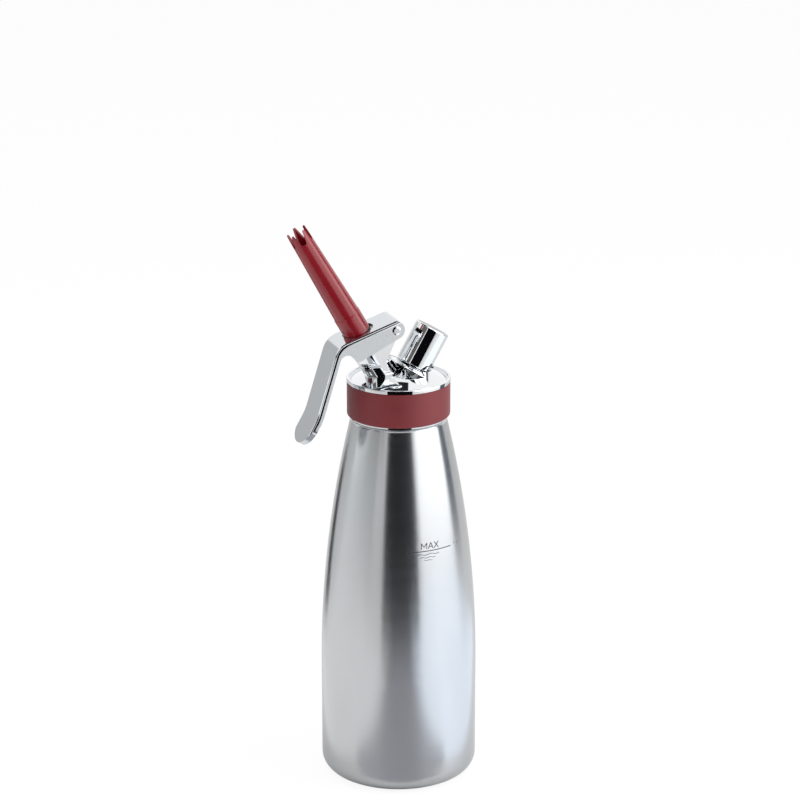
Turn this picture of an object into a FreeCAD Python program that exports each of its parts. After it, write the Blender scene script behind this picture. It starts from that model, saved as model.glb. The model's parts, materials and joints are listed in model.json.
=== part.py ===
import FreeCAD, Part
import math
import os
import Sketcher

# Whipped cream dispenser: a pressure bottle with a screwed head, a hand lever, a sprung valve
# with a decorating tip, and a capped inlet for the gas charger.
# Origin: centre of the bottle's foot. +Z runs up the bottle, the inlet leans to +X, the tip to -X.

doc = FreeCAD.newDocument("cream_dispenser")
sheet = doc.addObject("Spreadsheet::Sheet", "sizes")
Vector = FreeCAD.Vector


class Size:
    """A number together with the sheet formula that gives it."""

    def __init__(self, value, text):
        self.value = value
        self.text = text

    def __add__(self, other):
        other = as_size(other)
        return Size(self.value + other.value, f"({self.text} + {other.text})")

    def __sub__(self, other):
        other = as_size(other)
        return Size(self.value - other.value, f"({self.text} - {other.text})")

    def __mul__(self, other):
        other = as_size(other)
        return Size(self.value * other.value, f"{self.text} * {other.text}")

    def __truediv__(self, other):
        other = as_size(other)
        return Size(self.value / other.value, f"{self.text} / ({other.text})")

    def __neg__(self):
        return Size(-self.value, f"(0 - {self.text})")

    __radd__ = __add__
    __rmul__ = __mul__

    def __rsub__(self, other):
        return as_size(other) - self


def as_size(number):
    return number if isinstance(number, Size) else Size(float(number), repr(float(number)))


def sine(angle):
    return Size(math.sin(math.radians(angle.value)), f"sin({angle.text})")


def cosine(angle):
    return Size(math.cos(math.radians(angle.value)), f"cos({angle.text})")


def tangent(angle):
    return Size(math.tan(math.radians(angle.value)), f"tan({angle.text})")


ROWS = []


def size(alias, number):
    """Put one driving dimension in the sheet and return it with its formula."""
    ROWS.append(alias)
    row = len(ROWS)
    sheet.set(f"A{row}", alias)
    sheet.set(f"B{row}", str(number))
    sheet.setAlias(f"B{row}", alias)
    return Size(float(number), f"sizes.{alias}")


# Bottle
bottle_radius = size("bottle_radius", 48)
bottle_wall = size("bottle_wall", 1)
base_corner = size("base_corner", 10)
recess_radius = size("recess_radius", 33)
recess_depth = size("recess_depth", 1.5)
recess_slope = size("recess_slope", 2.5)
body_top = size("body_top", 70)
shoulder_top = size("shoulder_top", 228.3)
shoulder_step = size("shoulder_step", 3.51)
shoulder_corner = size("shoulder_corner", 3.2)
shoulder_rise = size("shoulder_rise", 1.7)
neck_radius = size("neck_radius", 26)
neck_wall = size("neck_wall", 2)
neck_edge = size("neck_edge", 0.6)
neck_top = size("neck_top", 247.9)

# Head shell, grip ring and gasket
thread_gap = size("thread_gap", 0.3)
skirt_wall = size("skirt_wall", 2.7)
grip_wall = size("grip_wall", 2.45)
grip_corner = size("grip_corner", 1.6)
seat_gap = size("seat_gap", 0.05)
lip_gap = size("lip_gap", 0.4)
lip_height = size("lip_height", 0.8)
grip_height = size("grip_height", 21.6)
rim_height = size("rim_height", 2.4)
rim_wall = size("rim_wall", 1.6)
rim_overhang = size("rim_overhang", 0.2)
rim_corner = size("rim_corner", 0.6)
trough_depth = size("trough_depth", 2.2)
dome_rise = size("dome_rise", 8.5)
gasket_height = size("gasket_height", 2)
gasket_bore = size("gasket_bore", 22.5)

# Lever and its pin, side view in the plane of symmetry
pin_x = size("pin_x", -5.8)
pin_z = size("pin_z", 287.5)
pin_radius = size("pin_radius", 2)
pin_head_radius = size("pin_head_radius", 2.6)
pin_head_height = size("pin_head_height", 0.75)
pin_crown_radius = size("pin_crown_radius", 1.82)
pin_crown_height = size("pin_crown_height", 0.45)
running_gap = size("running_gap", 0.05)
press_gap = size("press_gap", 0.02)
lever_width = size("lever_width", 24.6)
lever_sheet = size("lever_sheet", 1.5)
lever_edge = size("lever_edge", 2)
plate_tilt = size("plate_tilt", 18.5)
plate_rise = size("plate_rise", 5.3)
plate_reach = size("plate_reach", 37)
plate_overhang = size("plate_overhang", 2)
rear_round = size("rear_round", 5.8)
bend_radius = size("bend_radius", 13)
handle_tilt = size("handle_tilt", 17.3)
handle_reach = size("handle_reach", 45.9)
flare_tilt = size("flare_tilt", 30)
flare_reach = size("flare_reach", 18.5)
flare_radius = size("flare_radius", 30)
flange_depth = size("flange_depth", 3.8)
cheek_slope = size("cheek_slope", 26)
cheek_reach = size("cheek_reach", 24.5)
cheek_corner = size("cheek_corner", 2.5)
cheek_end_slope = size("cheek_end_slope", 49)
arch_radius = size("arch_radius", 4.5)
hole_start = size("hole_start", 9.9)
hole_end = size("hole_end", 29.5)
hole_width = size("hole_width", 17.8)

# Valve, measured along the tip's axis from the foot of the perpendicular through the pin
tip_tilt = size("tip_tilt", 30)
valve_arm = size("valve_arm", 19)
stem_radius = size("stem_radius", 4)
stem_bore = size("stem_bore", 2.4)
stem_top = size("stem_top", 19.5)
stem_thread_radius = size("stem_thread_radius", 3.2)
washer_top = size("washer_top", 5.5)
washer_thickness = size("washer_thickness", 1.6)
washer_radius = size("washer_radius", 10.4)
washer_edge = size("washer_edge", 0.3)
stem_shoulder = size("stem_shoulder", 5.2)
shoulder_thickness = size("shoulder_thickness", 1.3)
bumper_height = size("bumper_height", 2.7)
bumper_radius = size("bumper_radius", 8.2)
bumper_bulge = size("bumper_bulge", 0.6)
valve_travel_room = size("valve_travel_room", 3.5)
seat_depth = size("seat_depth", 37.6)
seat_bore = size("seat_bore", 5)
boss_radius = size("boss_radius", 8.5)
boss_height = size("boss_height", 11.6)
seal_radius = size("seal_radius", 7.6)
seal_height = size("seal_height", 2)
cup_sheet = size("cup_sheet", 1.4)
cup_rim = size("cup_rim", 0.3)
nut_height = size("nut_height", 3)
nut_across_flats = size("nut_across_flats", 10)
stem_end = size("stem_end", 1.6)
cross_hole_radius = size("cross_hole_radius", 1.3)
cross_hole_rise = size("cross_hole_rise", 3)
ring_thickness = size("ring_thickness", 0.9)
ring_depth = size("ring_depth", 27)
ring_room = size("ring_room", 0.2)
bush_bottom = size("bush_bottom", 22.95)
bush_top = size("bush_top", 13)
bush_radius = size("bush_radius", 6.5)
chamber_radius = size("chamber_radius", 8.6)
spring_seat_height = size("spring_seat_height", 0.8)
spring_seat_gap = size("spring_seat_gap", 0.2)
spring_wire = size("spring_wire", 0.65)
spring_radius = size("spring_radius", 6.7)
spring_turns = size("spring_turns", 6)

# Tower and hinge lug of the head
tower_half_width = size("tower_half_width", 9.8)
tower_front = size("tower_front", 10.4)
tower_rear = size("tower_rear", 11.5)
tower_root = size("tower_root", 22)
lug_radius = size("lug_radius", 3.4)
lug_lean = size("lug_lean", 36.87)
lug_back_x = size("lug_back_x", -8.2)
lug_back_z = size("lug_back_z", 270)
lug_foot_x = size("lug_foot_x", -3.4)
lug_foot_z = size("lug_foot_z", 261)
lug_curve = size("lug_curve", 9)

# Tip
collar_gap = size("collar_gap", 0.1)
collar_radius = size("collar_radius", 8.3)
collar_height = size("collar_height", 14.2)
collar_chamfer = size("collar_chamfer", 0.5)
spigot_radius = size("spigot_radius", 6.2)
spigot_height = size("spigot_height", 5.5)
thread_clearance = size("thread_clearance", 0.08)
tip_base_radius = size("tip_base_radius", 8)
tip_end_radius = size("tip_end_radius", 6.45)
tip_wall = size("tip_wall", 1.5)
tip_foot_wall = size("tip_foot_wall", 2.25)
crown_base = size("crown_base", 76)
tooth_length = size("tooth_length", 8.3)
tooth_count = size("tooth_count", 5)
slot_floor_width = size("slot_floor_width", 2.8)
slot_mouth_width = size("slot_mouth_width", 6.2)
slot_phase = size("slot_phase", -97)

# Gas inlet and cap, measured along the inlet's axis
inlet_tilt = size("inlet_tilt", 30)
inlet_x = size("inlet_x", 15.85)
inlet_z = size("inlet_z", 272.5)
cap_radius = size("cap_radius", 10.75)
cap_wall = size("cap_wall", 1.45)
cap_bottom = size("cap_bottom", -12.7)
cap_top = size("cap_top", 12.6)
cap_corner = size("cap_corner", 1)
cap_edge = size("cap_edge", 0.4)
cap_clearance = size("cap_clearance", 0.8)
nipple_gap = size("nipple_gap", 0.1)
nipple_top = size("nipple_top", 8)
nipple_bore = size("nipple_bore", 7.3)
nipple_floor = size("nipple_floor", -6)
nipple_edge = size("nipple_edge", 0.6)
spigot_bottom = size("spigot_bottom", -19)
nipple_spigot = size("nipple_spigot", 6)
gas_bore = size("gas_bore", 1.5)
boss_top = size("boss_top", -13.2)
saucer_radius = size("saucer_radius", 17.5)
saucer_depth = size("saucer_depth", 2.4)
saucer_edge = size("saucer_edge", 0.7)
saucer_neck = size("saucer_neck", 5)
saucer_curve = size("saucer_curve", 12)
inlet_boss_radius = size("inlet_boss_radius", 9.5)
inlet_boss_bottom = size("inlet_boss_bottom", -20)
holder_height = size("holder_height", 3)
needle_radius = size("needle_radius", 1)
needle_length = size("needle_length", 5)
needle_point = size("needle_point", 2)
inlet_seal_height = size("inlet_seal_height", 1.6)
inlet_seal_bore = size("inlet_seal_bore", 2.5)
inlet_seal_gap = size("inlet_seal_gap", 0.1)

doc.recompute()


# Shared builders

def new_body(label):
    body = doc.addObject("PartDesign::Body", label)
    body.Label = label
    return body


def origin_plane(body, role):
    return next(f for f in body.Origin.OriginFeatures if f.Role == role)


def arc_between(start, end, radius, turn):
    """Arc from start to end; turn is 1 when it bends left and -1 when it bends right."""
    chord = end - start
    middle = (start + end) * 0.5
    height = math.sqrt(max(radius * radius - chord.Length ** 2 / 4, 0))
    left = Vector(-chord.y, chord.x, 0).normalize()
    centre = middle + left * (height * turn)
    circle = Part.Circle(centre, Vector(0, 0, 1), radius)
    first = math.atan2(start.y - centre.y, start.x - centre.x)
    last = math.atan2(end.y - centre.y, end.x - centre.x)
    if turn > 0:
        return Part.ArcOfCircle(circle, first, last), 1, 2
    return Part.ArcOfCircle(circle, last, first), 2, 1


def outline(body, role, corners, name="profile"):
    """Closed sketch through corners (x, y) or (x, y, radius, turn) for an arc to the next corner."""
    sketch = body.newObject("Sketcher::SketchObject", name)
    sketch.AttachmentSupport = [(origin_plane(body, role), "")]
    sketch.MapMode = "FlatFace"
    spots = [Vector(as_size(c[0]).value, as_size(c[1]).value, 0) for c in corners]
    ends = []
    for i, corner in enumerate(corners):
        start = spots[i]
        end = spots[(i + 1) % len(spots)]
        if len(corner) == 4:
            curve, first, last = arc_between(start, end, as_size(corner[2]).value, corner[3])
        else:
            curve, first, last = Part.LineSegment(start, end), 1, 2
        sketch.addGeometry(curve)
        ends.append((first, last))
    for i in range(len(corners)):
        follower = (i + 1) % len(corners)
        sketch.addConstraint(Sketcher.Constraint("Coincident", i, ends[i][1], follower, ends[follower][0]))
    for i, corner in enumerate(corners):
        for kind, number in (("DistanceX", as_size(corner[0])), ("DistanceY", as_size(corner[1]))):
            index = sketch.addConstraint(Sketcher.Constraint(kind, i, ends[i][0], number.value))
            sketch.renameConstraint(index, f"{kind}{i}")
            sketch.setExpression(f"Constraints.{kind}{i}", number.text)
        if len(corner) == 4:
            radius = as_size(corner[2])
            index = sketch.addConstraint(Sketcher.Constraint("Radius", i, radius.value))
            sketch.renameConstraint(index, f"Radius{i}")
            sketch.setExpression(f"Constraints.Radius{i}", radius.text)
    return sketch


def tilt_about_y(body, x, z, angle, side):
    """Stand a body on (x, 0, z) with its axis leaning to side (1 is +X, -1 is -X)."""
    place = Vector(as_size(x).value, 0, as_size(z).value)
    turn = FreeCAD.Rotation(Vector(0, side, 0), angle.value)
    body.Placement = FreeCAD.Placement(place, turn)
    body.setExpression("Placement.Base.x", as_size(x).text)
    body.setExpression("Placement.Base.z", as_size(z).text)
    body.setExpression("Placement.Rotation.Angle", angle.text)


def turned(label, corners):
    """Piece turned about its own Z axis from a half section."""
    body = new_body(label)
    sketch = outline(body, "XZ_Plane", corners)
    turn = body.newObject("PartDesign::Revolution", "turn")
    turn.Profile = sketch
    turn.ReferenceAxis = (sketch, ["V_Axis"])
    turn.Angle = 360
    sketch.Visibility = False
    return body


def slab(label, corners, thickness, role="XZ_Plane"):
    """Piece cut from plate: a side outline given the same thickness to both sides."""
    body = new_body(label)
    pad = body.newObject("PartDesign::Pad", "plate")
    pad.Profile = outline(body, role, corners)
    pad.Midplane = True
    pad.Length = thickness.value
    pad.setExpression("Length", thickness.text)
    return body


def rod(label, radius, length, x, y, z, axis, angle):
    """Plain cylinder used as a drill; it starts at (x, y, z)."""
    tool = doc.addObject("Part::Cylinder", label)
    tool.setExpression("Radius", as_size(radius).text)
    tool.setExpression("Height", as_size(length).text)
    place = Vector(as_size(x).value, as_size(y).value, as_size(z).value)
    tool.Placement = FreeCAD.Placement(place, FreeCAD.Rotation(axis, angle))
    for name, number in (("x", x), ("y", y), ("z", z)):
        tool.setExpression(f"Placement.Base.{name}", as_size(number).text)
    return tool


def fused(label, pieces):
    union = doc.addObject("Part::MultiFuse", label)
    union.Shapes = pieces
    return union


def cut(label, base, tool):
    result = doc.addObject("Part::Cut", label)
    result.Base = base
    result.Tool = tool
    result.Label = label
    return result


# Derived places that several pieces share

shoulder_radius = neck_radius + shoulder_step
flank_fall = bottle_radius - shoulder_radius
flank_rise = shoulder_top - body_top
flank_radius = (flank_rise * flank_rise + flank_fall * flank_fall) / (flank_fall * 2)
neck_foot = shoulder_top + shoulder_rise
skirt_bore = neck_radius + thread_gap
skirt_radius = skirt_bore + skirt_wall
grip_radius = skirt_radius + grip_wall
lip_radius = grip_radius - grip_corner
lip_bottom = neck_foot + lip_gap
grip_bottom = lip_bottom + lip_height
grip_top = grip_bottom + grip_height
rim_top = grip_top + rim_height
rim_radius = grip_radius + rim_overhang
rim_inner = rim_radius - rim_wall
trough = rim_top - trough_depth
dome_top = trough + dome_rise
dome_radius = (rim_inner * rim_inner + dome_rise * dome_rise) / (dome_rise * 2)
ceiling = neck_top + gasket_height + seat_gap * 2
foot_x = pin_x - valve_arm * cosine(tip_tilt)
foot_z = pin_z - valve_arm * sine(tip_tilt)
cap_bore = cap_radius - cap_wall
nipple_radius = cap_bore - nipple_gap
washer_bottom = washer_top - washer_thickness
tower_top = washer_bottom - valve_travel_room
seal_bottom = -seat_depth - seal_height
nut_top = seal_bottom - cup_sheet
nut_bottom = nut_top - nut_height
bumper_arc = (bumper_height * bumper_height / 4 + bumper_bulge * bumper_bulge) / (bumper_bulge * 2)
collar_bottom = washer_top + bumper_height + collar_gap
collar_top = collar_bottom + collar_height
spigot_top = collar_top + spigot_height
crown_top = crown_base + tooth_length


def on_tip_axis(across, along):
    """Side-view point: across from the tip's axis away from the pin, and along it."""
    x = foot_x - across * cosine(tip_tilt) - along * sine(tip_tilt)
    z = foot_z - across * sine(tip_tilt) + along * cosine(tip_tilt)
    return x, z


# Bottle: deep-drawn shell, rolled to a long arc and necked for the head's thread

turned("bottle", [
    (0, recess_depth),
    (recess_radius - recess_slope, recess_depth),
    (recess_radius, 0),
    (bottle_radius - base_corner, 0, base_corner, 1),
    (bottle_radius, base_corner),
    (bottle_radius, body_top, flank_radius, 1),
    (shoulder_radius, shoulder_top, shoulder_corner, 1),
    (neck_radius + neck_edge, neck_foot),
    (neck_radius, neck_foot + neck_edge),
    (neck_radius, neck_top),
    (neck_radius - neck_wall, neck_top),
    (neck_radius - neck_wall, neck_foot - bottle_wall),
    (shoulder_radius - bottle_wall, shoulder_top - bottle_wall, flank_radius - bottle_wall, -1),
    (bottle_radius - bottle_wall, body_top),
    (bottle_radius - bottle_wall, base_corner, base_corner - bottle_wall, -1),
    (bottle_radius - base_corner, bottle_wall),
    (recess_radius + bottle_wall / 2, bottle_wall),
    (recess_radius - recess_slope, recess_depth + bottle_wall),
    (0, recess_depth + bottle_wall),
])

# Gasket: flat ring between the neck and the head's ceiling

turned("head_gasket", [
    (gasket_bore, neck_top + seat_gap),
    (neck_radius - seat_gap * 2, neck_top + seat_gap),
    (neck_radius - seat_gap * 2, ceiling - seat_gap),
    (gasket_bore, ceiling - seat_gap),
])

# Grip ring: moulded sleeve held between the lip and the rim of the head

turned("grip_ring", [
    (skirt_radius + seat_gap, grip_bottom + seat_gap),
    (grip_radius - grip_corner, grip_bottom + seat_gap, grip_corner, 1),
    (grip_radius, grip_bottom + seat_gap + grip_corner),
    (grip_radius, grip_top - seat_gap - grip_corner / 4),
    (grip_radius - grip_corner / 4, grip_top - seat_gap),
    (skirt_radius + seat_gap, grip_top - seat_gap),
])

# Head: domed cover with skirt, tower, hinge lug, valve seat and gas inlet boss in one casting

cover = turned("head_cover", [
    (skirt_bore, lip_bottom),
    (lip_radius, lip_bottom),
    (lip_radius, grip_bottom),
    (skirt_radius, grip_bottom),
    (skirt_radius, grip_top),
    (rim_radius, grip_top),
    (rim_radius, rim_top - rim_corner, rim_corner, 1),
    (rim_radius - rim_corner, rim_top),
    (rim_inner + rim_corner, rim_top, rim_corner, 1),
    (rim_inner, rim_top - rim_corner),
    (rim_inner, trough, dome_radius, 1),
    (0, dome_top),
    (0, ceiling),
    (skirt_bore, ceiling),
])

lug_x = pin_x - lug_radius * sine(lug_lean)
lug_z = pin_z + lug_radius * cosine(lug_lean)
lug_rear_x = pin_x + lug_radius
front_foot_x, front_foot_z = on_tip_axis(tower_front, -tower_root)
front_x, front_z = on_tip_axis(tower_front, tower_top)
rear_x, rear_z = on_tip_axis(-tower_rear, tower_top)
tower = slab("head_tower", [
    (front_foot_x, front_foot_z),
    (lug_foot_x, front_foot_z),
    (lug_foot_x, lug_foot_z, lug_curve, -1),
    (lug_back_x, lug_back_z),
    (lug_rear_x, pin_z, lug_radius, 1),
    (lug_x, lug_z),
    (rear_x, rear_z),
    (front_x, front_z),
], tower_half_width * 2)

seat_boss = turned("seat_boss", [
    (0, -seat_depth),
    (boss_radius, -seat_depth),
    (boss_radius, -seat_depth + boss_height),
    (0, -seat_depth + boss_height),
])
tilt_about_y(seat_boss, foot_x, foot_z, tip_tilt, -1)

inlet_boss = turned("inlet_boss", [
    (0, inlet_boss_bottom),
    (inlet_boss_radius, inlet_boss_bottom),
    (inlet_boss_radius, boss_top - saucer_neck, saucer_curve, -1),
    (saucer_radius, boss_top - saucer_depth),
    (saucer_radius, boss_top - saucer_depth + saucer_edge),
    (inlet_boss_radius, boss_top),
    (0, boss_top),
])
tilt_about_y(inlet_boss, inlet_x, inlet_z, inlet_tilt, 1)

valve_bore = turned("valve_bore", [
    (0, -seat_depth - 1),
    (seat_bore, -seat_depth - 1),
    (seat_bore, -bush_bottom),
    (bush_radius, -bush_bottom),
    (bush_radius, -bush_top),
    (chamber_radius, -bush_top),
    (chamber_radius, tower_top + 1),
    (0, tower_top + 1),
])
tilt_about_y(valve_bore, foot_x, foot_z, tip_tilt, -1)

inlet_bore = turned("inlet_bore", [
    (0, spigot_bottom),
    (nipple_spigot + press_gap, spigot_bottom),
    (nipple_spigot + press_gap, boss_top),
    (cap_radius + cap_clearance, boss_top),
    (cap_radius + cap_clearance, cap_top),
    (0, cap_top),
])
tilt_about_y(inlet_bore, inlet_x, inlet_z, inlet_tilt, 1)

passage_bottom = ceiling - gas_bore
passage_top = inlet_z + spigot_bottom * cosine(inlet_tilt) + gas_bore
gas_passage = rod("gas_passage", gas_bore, passage_top - passage_bottom,
                  inlet_x + spigot_bottom * sine(inlet_tilt), 0, passage_bottom,
                  Vector(0, 0, 1), 0)
pin_bore = rod("pin_bore", pin_radius + press_gap, tower_half_width * 2 + 2,
               pin_x, tower_half_width + 1, pin_z, Vector(1, 0, 0), 90)
casting = fused("casting", [cover, tower, seat_boss, inlet_boss])
bores = fused("bores", [valve_bore, inlet_bore, gas_passage, pin_bore])
cut("head_body", casting, bores)

# Lever pin: shaft through the lug, with a flat head outside each cheek

pin_reach = lever_width / 2 + running_gap
lever_pin = turned("lever_pin", [
    (0, -pin_reach - pin_head_height),
    (pin_crown_radius, -pin_reach - pin_head_height),
    (pin_head_radius, -pin_reach - pin_head_height + pin_crown_height),
    (pin_head_radius, -pin_reach),
    (pin_radius, -pin_reach),
    (pin_radius, pin_reach),
    (pin_head_radius, pin_reach),
    (pin_head_radius, pin_reach + pin_head_height - pin_crown_height),
    (pin_crown_radius, pin_reach + pin_head_height),
    (0, pin_reach + pin_head_height),
])
lever_pin.Placement = FreeCAD.Placement(
    Vector(pin_x.value, 0, pin_z.value), FreeCAD.Rotation(Vector(1, 0, 0), 90))
lever_pin.setExpression("Placement.Base.x", pin_x.text)
lever_pin.setExpression("Placement.Base.z", pin_z.text)


# Lever: pressed channel with a plate over the valve and a flanged handle

def along_plate(reach, rise):
    """Side-view point: reach from the pin towards the handle, rise above the pin."""
    x = pin_x - reach * cosine(plate_tilt) - rise * sine(plate_tilt)
    z = pin_z - reach * sine(plate_tilt) + rise * cosine(plate_tilt)
    return x, z


half_bend = (90 - handle_tilt - plate_tilt) / 2
half_flare = (flare_tilt - handle_tilt) / 2


def lever_top(inset):
    """Side-view line over plate, bend and handle, moved in by inset; also the knee of its flare."""
    bend_inner = bend_radius - inset
    bend_length = bend_inner * tangent(half_bend)
    bend_x, bend_z = along_plate(plate_reach - inset * tangent(half_bend), plate_rise - inset)
    flare_inner = flare_radius + inset
    flare_length = flare_inner * tangent(half_flare)
    reach = handle_reach - inset * tangent(half_bend) + inset * tangent(half_flare)
    knee_x = bend_x - reach * sine(handle_tilt)
    knee_z = bend_z - reach * cosine(handle_tilt)
    end_reach = flare_reach + inset * tangent(half_flare)
    line = [
        along_plate(-plate_overhang, plate_rise - inset),
        (bend_x + bend_length * cosine(plate_tilt), bend_z + bend_length * sine(plate_tilt), bend_inner, 1),
        (bend_x - bend_length * sine(handle_tilt), bend_z - bend_length * cosine(handle_tilt)),
        (knee_x + flare_length * sine(handle_tilt), knee_z + flare_length * cosine(handle_tilt),
         flare_inner, -1),
        (knee_x - flare_length * sine(flare_tilt), knee_z - flare_length * cosine(flare_tilt)),
        (knee_x - end_reach * sine(flare_tilt), knee_z - end_reach * cosine(flare_tilt)),
    ]
    return line, knee_x, knee_z


top_line, top_knee_x, top_knee_z = lever_top(as_size(0))
end_x, end_z = top_line[-1]

# Lower line of the handle's flanges, a flange's depth inside the top line
knee_shift = flange_depth * tangent(half_flare)
knee_x = top_knee_x + flange_depth * cosine(handle_tilt) - knee_shift * sine(handle_tilt)
knee_z = top_knee_z - flange_depth * sine(handle_tilt) - knee_shift * cosine(handle_tilt)
lower_flare = flare_radius + flange_depth
lower_cut = lower_flare * tangent(half_flare)
flange_line = [
    (end_x + flange_depth * cosine(flare_tilt), end_z - flange_depth * sine(flare_tilt)),
    (knee_x - lower_cut * sine(flare_tilt), knee_z - lower_cut * cosine(flare_tilt), lower_flare, 1),
    (knee_x + lower_cut * sine(handle_tilt), knee_z + lower_cut * cosine(handle_tilt)),
]

# Lower line of the cheeks: tangent to the round end about the pin, down to a rounded corner
cheek_start_x = pin_x + plate_rise * sine(cheek_slope)
cheek_start_z = pin_z - plate_rise * cosine(cheek_slope)
corner_x = cheek_start_x - (cheek_reach + plate_rise) * cosine(cheek_slope)
corner_z = cheek_start_z - (cheek_reach + plate_rise) * sine(cheek_slope)
corner_turn = (cheek_slope + cheek_end_slope) / 2
corner_cut = cheek_corner * tangent(corner_turn)
# The arch under the bend joins the cheek's end to the handle's flange
handle_slope = 90 - handle_tilt
gap_x = corner_x - knee_x
gap_z = corner_z - knee_z
# Distance from the cheek's corner up its end line to the flange's line
flange_across = gap_x * cosine(handle_tilt) - gap_z * sine(handle_tilt)
end_rise = flange_across / (cosine(cheek_end_slope) * cosine(handle_tilt)
                            + sine(cheek_end_slope) * sine(handle_tilt))
arch_x = corner_x - end_rise * cosine(cheek_end_slope)
arch_z = corner_z + end_rise * sine(cheek_end_slope)
arch_half = (cheek_end_slope + handle_slope) / 2
arch_cut = arch_radius * tangent(arch_half)

lever_outline = top_line + flange_line + [
    (arch_x - arch_cut * sine(handle_tilt), arch_z - arch_cut * cosine(handle_tilt), arch_radius, -1),
    (arch_x + arch_cut * cosine(cheek_end_slope), arch_z - arch_cut * sine(cheek_end_slope)),
    (corner_x - corner_cut * cosine(cheek_end_slope), corner_z + corner_cut * sine(cheek_end_slope),
     cheek_corner, 1),
    (corner_x + corner_cut * cosine(cheek_slope), corner_z + corner_cut * sine(cheek_slope)),
    (cheek_start_x, cheek_start_z, plate_rise, 1),
    (pin_x + plate_rise, pin_z, rear_round, 1),
]
lever_blank = slab("lever_blank", lever_outline, lever_width)
doc.recompute()


def long_top_edges(shape, half_width):
    """Edges on both outer sides that border the lever's plate, bend and handle."""
    top_curves = [curve.toShape() for curve in lever_plate.Profile[0].Geometry[:len(top_line) - 1]]
    names = []
    for number, edge in enumerate(shape.Edges, 1):
        box = edge.BoundBox
        if box.YLength > 0.01 or abs(abs(box.YMin) - half_width) > 0.01:
            continue
        middle = edge.valueAt((edge.FirstParameter + edge.LastParameter) / 2)
        spot = Part.Vertex(middle.x, middle.z, 0)
        if min(spot.distToShape(curve)[0] for curve in top_curves) < 0.01:
            names.append(f"Edge{number}")
    return names


lever_plate = lever_blank.Tip
top_edges = long_top_edges(lever_plate.Shape, lever_width.value / 2)
rounding = lever_blank.newObject("PartDesign::Fillet", "pressed_edges")
rounding.Base = (lever_plate, top_edges)
rounding.Radius = lever_edge.value
rounding.setExpression("Radius", lever_edge.text)

# Everything between the sheet's walls is hollow, down past the cheeks and the flanges
hollow_line = lever_top(lever_sheet)[0]
hollow_x, hollow_z = hollow_line[-1]
hollow_width = lever_width - lever_sheet * 2
hollow_rear = pin_x + plate_rise * 3
hollow_foot = hollow_z - handle_reach * sine(flare_tilt)
channel = slab("lever_channel", [
    (hollow_rear, pin_z + plate_rise - lever_sheet),
    (pin_x, pin_z + plate_rise - lever_sheet),
] + hollow_line + [
    (hollow_x + handle_reach * cosine(flare_tilt), hollow_foot),
    (hollow_rear, hollow_foot),
], hollow_width)

# The handle's end is rounded in plan: a bar with a round end keeps what lies inside it
bar_length = (plate_reach + handle_reach + flare_reach) * 1.5


def plan_bar(label, width, end_inset):
    """Bar along the flared end of the handle, with a half-round end of its own width."""
    body = new_body(label)
    half = width / 2
    pad = body.newObject("PartDesign::Pad", "bar")
    pad.Profile = outline(body, "XY_Plane", [
        (half + end_inset, -half),
        (bar_length, -half),
        (bar_length, half),
        (half + end_inset, half, half, 1),
        (end_inset, 0, half, 1),
    ])
    pad.Midplane = True
    pad.Length = bar_length.value
    pad.setExpression("Length", bar_length.text)
    turn = FreeCAD.Rotation(Vector(0, -1, 0), 90 - flare_tilt.value)
    body.Placement = FreeCAD.Placement(Vector(end_x.value, 0, end_z.value), turn)
    body.setExpression("Placement.Base.x", end_x.text)
    body.setExpression("Placement.Base.z", end_z.text)
    body.setExpression("Placement.Rotation.Angle", f"90 - {flare_tilt.text}")
    return body


outer_bar = plan_bar("outer_bar", lever_width, as_size(0))
inner_bar = plan_bar("inner_bar", hollow_width, lever_sheet)
blank = doc.addObject("Part::Common", "rounded_blank")
blank.Base = lever_blank
blank.Tool = outer_bar
hollow = doc.addObject("Part::Common", "rounded_hollow")
hollow.Base = channel
hollow.Tool = inner_bar

# The plate's long hole lets the tip's collar swing through
hole_tool = new_body("plate_hole")
hole_pad = hole_tool.newObject("PartDesign::Pad", "hole")
hole_half = hole_width / 2
hole_pad.Profile = outline(hole_tool, "XY_Plane", [
    (hole_start + hole_half, hole_half, hole_half, 1),
    (hole_start, 0, hole_half, 1),
    (hole_start + hole_half, -hole_half),
    (hole_end - hole_half, -hole_half, hole_half, 1),
    (hole_end, 0, hole_half, 1),
    (hole_end - hole_half, hole_half),
])
hole_pad.Length = plate_rise.value + 1
hole_pad.setExpression("Length", (plate_rise + 1).text)
hole_tool.Placement = FreeCAD.Placement(
    Vector(pin_x.value, 0, pin_z.value),
    FreeCAD.Rotation(Vector(0, 0, 1), 180).multiply(FreeCAD.Rotation(Vector(0, 1, 0), plate_tilt.value)))
hole_tool.setExpression("Placement.Base.x", pin_x.text)
hole_tool.setExpression("Placement.Base.z", pin_z.text)
lever_drill = rod("lever_drill", pin_radius + running_gap, lever_width + 2,
                  pin_x, lever_width / 2 + 1, pin_z, Vector(1, 0, 0), 90)
cut("lever", blank, fused("lever_cuts", [hollow, hole_tool, lever_drill]))

# Valve: hollow stem with its seal below the seat, pushed up by the spring under the washer


def on_tip(label, corners):
    """Turned piece of the valve or tip, stood on the tip's axis."""
    body = turned(label, corners)
    tilt_about_y(body, foot_x, foot_z, tip_tilt, -1)
    return body


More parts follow.
